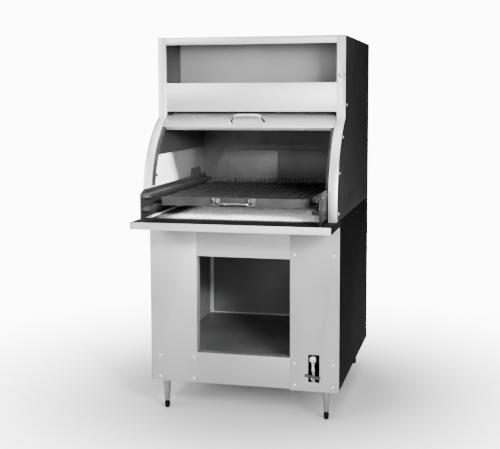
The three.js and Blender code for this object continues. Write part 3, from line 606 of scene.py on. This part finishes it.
def lofted(rings):
    """Points and faces of a closed solid through rings of equally many points."""
    wide = len(rings[0])
    points = [point for ring in rings for point in ring]
    faces = []
    for start in range(0, len(points) - wide, wide):
        for step in range(wide):
            after = (step + 1) % wide
            faces.append((start + step, start + after, start + wide + after, start + wide + step))
    faces.append(tuple(reversed(range(wide))))
    faces.append(tuple(range(len(points) - wide, len(points))))
    return points, faces


def turned(profile, segments, lobes=None, count=4):
    """A closed turned solid about +Z. lobes maps a ring's index to how far its count lobes stand out."""
    rings = []
    for index, (radius, height) in enumerate(profile):
        ring = []
        for step in range(segments):
            turn = 2 * math.pi * step / segments
            reach = radius * (1 + (lobes or {}).get(index, 0) * math.cos(count * turn))
            ring.append(Vector((reach * math.cos(turn), reach * math.sin(turn), height)))
        rings.append(ring)
    return lofted(rings)


def swept(path, thick, wide, segments=16):
    """A rod of oval section along a path in the plane of X and Z; wide is its reach along Y."""
    turns = [2 * math.pi * step / segments for step in range(segments)]
    rings = []
    for index, place in enumerate(path):
        along = (path[min(index + 1, len(path) - 1)] - path[max(index - 1, 0)]).normalized()
        across = Vector((along.z, 0, -along.x))
        rings.append([place + thick * math.cos(t) * across + wide * math.sin(t) * SIDEWAYS for t in turns])
    return lofted(rings)


def joined(*shapes):
    """Several shapes as the points and faces of one."""
    points, faces = [], []
    for shape in shapes:
        start = len(points)
        points += shape[0]
        faces += [tuple(i + start for i in face) for face in shape[1]]
    return points, faces


def moved(shape, matrix):
    """A shape with its points taken through a matrix."""
    return [matrix @ point for point in shape[0]], shape[1]


def placed(shape, spots, normal):
    """Copies of a shape made about +Z, put at each spot with +Z turned to the normal."""
    turn = Vector(normal).to_track_quat("Z", "Y").to_matrix().to_4x4()
    return joined(*[moved(shape, Matrix.Translation(spot) @ turn) for spot in spots])


# ---- Screws, bolts, rivets and pins --------------------------------------------------------
SCREW_PROFILE = [(6.2, 0), (6.2, 0.6), (5.4, 1.8), (3.8, 2.6), (2.3, 2.9), (1.9, 1.6)]
SCREW_SOCKET = {4: 0.3, 5: 0.3}  # the four points of its cross slot
SCREW = turned(in_metres(SCREW_PROFILE), 24, SCREW_SOCKET)
BOLT = turned(in_metres([(8.5, 0), (8.5, 1.2), (5.8, 1.2), (5.8, 5.0), (4.9, 5.8)]), 6)
RIVET = turned(in_metres([(3.6, 0), (3.4, 0.8), (2.6, 1.6), (1.2, 2.0)]), 16)

HOOD_AXIS_Y = -0.046
HOOD_AXIS_Z = 1.016
HOOD_RADIUS = 0.4445
UPPER_FRONT_Y = -0.25

SCREW_HEIGHTS = (0.785, 0.272, 0.168)  # on the front of the base, from the top
INNER_COLUMNS = (-0.243, 0.248)
LEFT_COLUMN = -0.411  # the one with no screw in the top row
RIGHT_COLUMN = 0.430
HOOD_SCREW_HEIGHTS = (1.471, 1.325, 1.166, 0.985)
HOOD_SCREW_INSET = 0.045  # how far they sit behind the hood's front edge
BOLT_HEIGHT = 1.026
BOLT_DEPTHS = (-0.087, 0.203, 0.462)
RIVET_HEIGHT = 1.072
RIVET_STEPS = (0.06, 0.2, 0.34, 0.6, 0.8)  # from the rack's front end
PIN_Y = -0.403
PIN_Z = 1.143


def hood_front(z):
    """Y of the hood's front edge at the height z, on its curve."""
    rise = min(max(z - HOOD_AXIS_Z, 0), HOOD_RADIUS)
    return min(HOOD_AXIS_Y - math.sqrt(HOOD_RADIUS**2 - rise**2), UPPER_FRONT_Y)


def make_front_screws():
    """The screws that hold the plates of the base's front."""
    front_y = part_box("front_stile_left")[0].y
    spots = [(x, front_y, z) for x in INNER_COLUMNS for z in SCREW_HEIGHTS]
    spots += [(LEFT_COLUMN, front_y, z) for z in SCREW_HEIGHTS[1:]]
    spots += [(RIGHT_COLUMN, front_y, z) for z in SCREW_HEIGHTS]
    add_piece("front_screws", *placed(SCREW, spots, FRONT), BRIGHT, "cabinet", "stainless")


def make_side_fasteners(side, normal):
    """One side's hood screws, hood bolts, rack rivets and the pin in the chamber's lining."""
    outward = 1 if normal == RIGHT else 0
    hood_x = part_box("hood_side_right")[1].x * normal[0]
    spots = [(hood_x, hood_front(z) + HOOD_SCREW_INSET, z) for z in HOOD_SCREW_HEIGHTS]
    add_piece(f"side_screws_{side}", *placed(SCREW, spots, normal), BRIGHT, "cabinet", "stainless")
    spots = [(hood_x, y, BOLT_HEIGHT) for y in BOLT_DEPTHS]
    add_piece(f"side_bolts_{side}", *placed(BOLT, spots, normal), ENAMEL, "cabinet", "black_enamel")
    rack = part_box(f"rack_{side}")
    spots = [(rack[outward].x, rack[0].y + step, RIVET_HEIGHT) for step in RIVET_STEPS]
    add_piece(f"rack_rivets_{side}", *placed(RIVET, spots, normal), BRIGHT, "cabinet", "rack_steel")
    spots = [(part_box(f"side_liner_{side}")[1 - outward].x, PIN_Y, PIN_Z)]
    inward = (-normal[0], 0, 0)
    add_piece(f"liner_pin_{side}", *placed(BOLT, spots, inward), RACK, "cabinet", "rack_steel")


# ---- Ceramic tiles -------------------------------------------------------------------------
NUB_PITCH = 0.022
NUB_HEIGHT = 0.008
NUB_RIM = 0.006  # the nubs fade out this near the tile's edge
GRID_STEP = 0.0045


def wave(value):
    """A triangle wave from 0 to 1."""
    return abs((value % 1.0) * 2 - 1)


def tile_top(x, y, low, high):
    """Height of the tile's top: rows of small pyramids on the diagonal, a little uneven."""
    along = wave((x + y) / (1.414 * NUB_PITCH))
    across = wave((x - y) / (1.414 * NUB_PITCH))
    uneven = 0.5 + 0.5 * math.sin(41 * x + 17 * math.sin(23 * y)) * math.sin(37 * y + 11 * math.sin(19 * x))
    edge = min(x - low.x, high.x - x, y - low.y, high.y - y)
    rise = 0.55 * min(along, across) + 0.45 * along * across + 0.25 * uneven
    return high.z - NUB_HEIGHT + NUB_HEIGHT * rise * min(1.0, edge / NUB_RIM)


def make_tile(name, node):
    """A closed slab with a nubbed top that stands for a CAD section of tiles."""
    low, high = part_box(node)
    columns = round((high.x - low.x) / GRID_STEP)
    rows = round((high.y - low.y) / GRID_STEP)
    points = []
    for row in range(rows + 1):
        for column in range(columns + 1):
            x = low.x + (high.x - low.x) * column / columns
            y = low.y + (high.y - low.y) * row / rows
            points.append((x, y, tile_top(x, y, low, high)))
    wide = columns + 1
    faces = [(r * wide + c, r * wide + c + 1, (r + 1) * wide + c + 1, (r + 1) * wide + c)
             for r in range(rows) for c in range(columns)]
    rim = list(range(wide))
    rim += [r * wide + columns for r in range(1, rows + 1)]
    rim += [rows * wide + c for c in range(columns - 1, -1, -1)]
    rim += [r * wide for r in range(rows - 1, 0, -1)]
    start = len(points)
    points += [(points[i][0], points[i][1], low.z) for i in rim]
    count = len(rim)
    for i in range(count):
        after = (i + 1) % count
        faces.append((rim[after], rim[i], start + i, start + after))
    faces.append(tuple(reversed(range(start, start + count))))
    tile = add_piece(name, points, faces, CERAMIC, "cabinet", "ceramic")
    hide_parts(node)


# ---- Folded seams of the storage compartment -----------------------------------------------
FLOOR_FOLD = 0.006
CORNER_FOLD = 0.017
FOLD_STEPS = 6


def cove(start, end, first, second, radius):
    """A quarter-round fold along a corner; first and second point away from its two walls."""
    start, end, first, second = (Vector(v) for v in (start, end, first, second))
    turns = [math.pi / 2 * step / FOLD_STEPS for step in range(FOLD_STEPS + 1)]
    bow = [radius * ((1 - math.sin(t)) * first + (1 - math.cos(t)) * second) for t in turns]
    return lofted([[place] + [place + reach for reach in bow] for place in (start, end)])


def make_folds():
    """The folds along the back of the compartment: one on its floor, one up each corner, coloured pale as
    painted highlights.
    """
    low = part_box("compartment_floor")[1].z
    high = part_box("compartment_top")[0].z
    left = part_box("compartment_side_left")[1].x
    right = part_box("compartment_side_right")[0].x
    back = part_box("compartment_back")[0].y
    folds = {
        "floor_back": cove((left, back, low), (right, back, low), FRONT, UP, FLOOR_FOLD),
        "corner_left": cove((left, back, low), (left, back, high), RIGHT, FRONT, CORNER_FOLD),
        "corner_right": cove((right, back, high), (right, back, low), LEFT, FRONT, CORNER_FOLD),
    }
    for name, shape in folds.items():
        add_piece(f"fold_{name}", *shape, FOLD_HIGHLIGHT, "cabinet", "grey_panel")


# ---- Door trim -----------------------------------------------------------------------------
RIVET_AT = 60  # degrees round the door's arc
RIVET_RADIUS = 0.4425
RIVET_X = 0.397
HANDLE_AT = 57
HANDLE_RADIUS = 0.4428
HANDLE_FOOT_X = 0.082
HANDLE_FOOT_Z = 0.003
HANDLE_CORNER_X = 0.061
HANDLE_REACH = 0.043
LEG_SECTION = (0.0045, 0.0055)  # half its thickness and half its width
GRIP_SECTION = (0.0052, 0.0085)
PAD_PROFILE = [(11, 0), (11, 1.6), (8.6, 4.2), (4.5, 5.6), (1, 6)]
PAD_STRETCH = 1.25
PAD_OUTSET = 0.002


def on_arc(radius, degrees, x):
    """A place on a circle about the door's axis."""
    turn = math.radians(degrees)
    return Vector((x, HOOD_AXIS_Y - radius * math.cos(turn), HOOD_AXIS_Z + radius * math.sin(turn)))


def make_door_rivets():
    """The two rivets that hold the ends of the fascia."""
    facing = on_arc(1.0, RIVET_AT, 0) - on_arc(0.0, RIVET_AT, 0)
    spots = [on_arc(RIVET_RADIUS, RIVET_AT, x) for x in (-RIVET_X, RIVET_X)]
    add_piece("door_rivets", *placed(RIVET, spots, facing), CHROME_PAINTED_DARK, "door", "stainless")


def curve_points(start, bend, end, steps):
    """Points on the curve from start to end that bend pulls outward."""
    parts = [i / steps for i in range(steps + 1)]
    return [(1 - t) ** 2 * start + 2 * t * (1 - t) * bend + t * t * end for t in parts]


def make_door_handle():
    """A polished bail: two splayed legs painted dark as a painted reflection, a broad oval grip and oval
    pads for feet painted bright as painted highlights.
    """
    lean = Matrix.Rotation(math.radians(90 - HANDLE_AT), 4, "X")
    place = Matrix.Translation((0, HOOD_AXIS_Y, HOOD_AXIS_Z)) @ lean
    place = place @ Matrix.Translation((0, 0, HANDLE_RADIUS))
    pad = turned(in_metres(PAD_PROFILE), 24)
    stretch = Matrix.Diagonal((PAD_STRETCH, 1, 1, 1))
    legs, pads, halves = [], [], {}
    for side in (-1, 1):
        foot = Vector((side * HANDLE_FOOT_X, 0, HANDLE_FOOT_Z))
        corner = Vector((side * HANDLE_CORNER_X, 0, HANDLE_REACH))
        enter = corner.lerp(foot, 0.3)
        leave = corner + Vector((-side * 0.02, 0, 0))
        legs.append(swept([foot, foot.lerp(enter, 0.5), enter], *LEG_SECTION))
        halves[side] = curve_points(enter, corner, leave, 8)
        under = Matrix.Translation((side * (HANDLE_FOOT_X + PAD_OUTSET), 0, 0))
        pads.append(moved(pad, under @ stretch))
    grip = swept(halves[-1] + list(reversed(halves[1])), *GRIP_SECTION)
    grip_piece = add_piece("door_handle_grip", *moved(grip, place), CHROME_PAINTED_BRIGHT, "door", "chrome")
    add_piece("door_handle_legs", *moved(joined(*legs), place), CHROME_PAINTED_DARK, "door", "chrome")
    add_piece("door_handle_feet", *moved(joined(*pads), place), CHROME_PAINTED_BRIGHT, "door", "chrome")
    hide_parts("door_handle")


# ---- Gas controls --------------------------------------------------------------------------
KNOB_PROFILE = [(16.5, 0), (17.6, 2.5), (17.6, 8.5), (15.8, 13), (11.5, 16.6), (5.5, 18.6), (1, 19)]
KNOB_FLUTES = {1: 0.03, 2: 0.045, 3: 0.03}
FLUTE_COUNT = 8
SKIRT_PROFILE = [(20.5, 0), (20.5, 3), (18.5, 5.5), (10, 5.5)]
NUT_PROFILE = [(12.5, 0), (13.5, 1.5), (13.5, 10.5), (12.5, 12)]
HUB_PROFILE = [(8.5, 0), (8.5, 13), (6.5, 15.5), (2, 16.2)]
VALVE_RADIUS = 0.0095
VALVE_BOW = 0.005  # how far the valve's body bows to the left
UPPER_NUT_Z = 0.268
UNION_LEFT = 0.004  # of the valve's middle
UNION_UP = 0.002
LEVER_TILT = 9  # degrees at rest
LEVER_HALF = 0.038
LEVER_FACE_Y = -0.4055
LEVER_THICK = 0.003
LEVER_BOW = 0.003
LEVER_WAIST = 0.0048  # half its width in the middle
LEVER_FLARE = 0.004
LEVER_TAPER = 0.003  # how much narrower the very tips are


def make_knob():
    """The burner's fluted knob on its dark skirt."""
    low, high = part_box("burner_knob")
    centre = ((low.x + high.x) / 2, high.y, (low.z + high.z) / 2)
    knob = placed(turned(in_metres(KNOB_PROFILE), 48, KNOB_FLUTES, FLUTE_COUNT), [centre], FRONT)
    # painted highlight: the cap in the bright copy of the plating
    knob_piece = add_piece("burner_knob_cap", *knob, CHROME_PAINTED_BRIGHT, "burner_knob", "chrome")
    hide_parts("burner_knob")
    skirt = turned(in_metres(SKIRT_PROFILE), 32)
    add_piece("burner_knob_skirt", *placed(skirt, [centre], FRONT), ENAMEL, "burner_knob", "chrome")


def make_valve():
    """The burner valve's bowed body between two nuts, and the union on the cock below it."""
    low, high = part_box("burner_valve")
    middle = Vector(((low.x + high.x) / 2, (low.y + high.y) / 2, 0))
    steps = 10
    path = []
    for i in range(steps + 1):
        bow = -VALVE_BOW * math.sin(math.pi * i / steps)
        path.append(middle + Vector((bow, 0, high.z + (low.z - high.z) * i / steps)))
    body = swept(path, VALVE_RADIUS, VALVE_RADIUS, 20)
    nut = turned(in_metres(NUT_PROFILE), 6)
    nuts = placed(nut, [middle + Vector((0, 0, z)) for z in (low.z, UPPER_NUT_Z)], UP)
    # painted highlight: body, nuts and union in the bright copy of the plating
    piece = add_piece("burner_valve_body", *joined(body, nuts), CHROME_PAINTED_BRIGHT, "cabinet", "chrome")
    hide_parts("burner_valve")
    cock_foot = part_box("main_cock")[0].z
    union = placed(nut, [(middle.x - UNION_LEFT, middle.y, cock_foot + UNION_UP)], UP)
    add_piece("main_cock_union", *union, CHROME_PAINTED_BRIGHT, "cabinet", "chrome")


def make_lever():
    """The cock's wing lever: two arms that widen to their tips and bow a little forward."""
    low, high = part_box("cock_lever")
    centre = Vector(((low.x + high.x) / 2, 0, (low.z + high.z) / 2))
    steps = 12
    rings = []
    for i in range(steps + 1):
        reach = 2 * i / steps - 1
        taper = LEVER_TAPER if abs(reach) == 1 else 0
        half = LEVER_WAIST + LEVER_FLARE * abs(reach) ** 1.5 - taper
        face = LEVER_FACE_Y - LEVER_BOW * reach * reach
        back = face + LEVER_THICK
        corners = ((face, -half), (face, half), (back, half), (back, -half))
        rings.append([Vector((reach * LEVER_HALF, y, z)) for y, z in corners])
    turn = Matrix.Translation(centre) @ Matrix.Rotation(math.radians(LEVER_TILT), 4, "Y")
    hub = placed(turned(in_metres(HUB_PROFILE), 24), [(centre.x, high.y, centre.z)], FRONT)
    shape = joined(moved(lofted(rings), turn), hub)
    lever = add_piece("cock_wing_lever", *shape, LEVER, "cock_lever", "plain_steel")
    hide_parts("cock_lever")


# ---- Flue baffle ---------------------------------------------------------------------------
BAFFLE_HALF = 0.3
BAFFLE_SECTION = [  # Y and Z of its bent section
    (0.3905, 1.262), (0.3925, 1.2625), (0.4105, 1.2505),
    (0.4105, 1.205), (0.409, 1.205), (0.409, 1.2495),
]


def make_baffle():
    """The bent plate behind the flue slot."""
    rings = [[Vector((x, y, z)) for y, z in BAFFLE_SECTION] for x in (-BAFFLE_HALF, BAFFLE_HALF)]
    add_piece("flue_baffle", *lofted(rings), BAFFLE, "cabinet", "dark_lining")


make_camera()
make_floor()
make_world()
make_lights()
dress_nodes()
make_front_screws()
make_side_fasteners("right", RIGHT)
make_side_fasteners("left", LEFT)
make_tile("ceramic_tiles_front", "briquettes_front")
make_tile("ceramic_tiles_rear", "briquettes_rear")
make_folds()
make_door_rivets()
make_door_handle()
make_knob()
make_valve()
make_lever()
make_baffle()
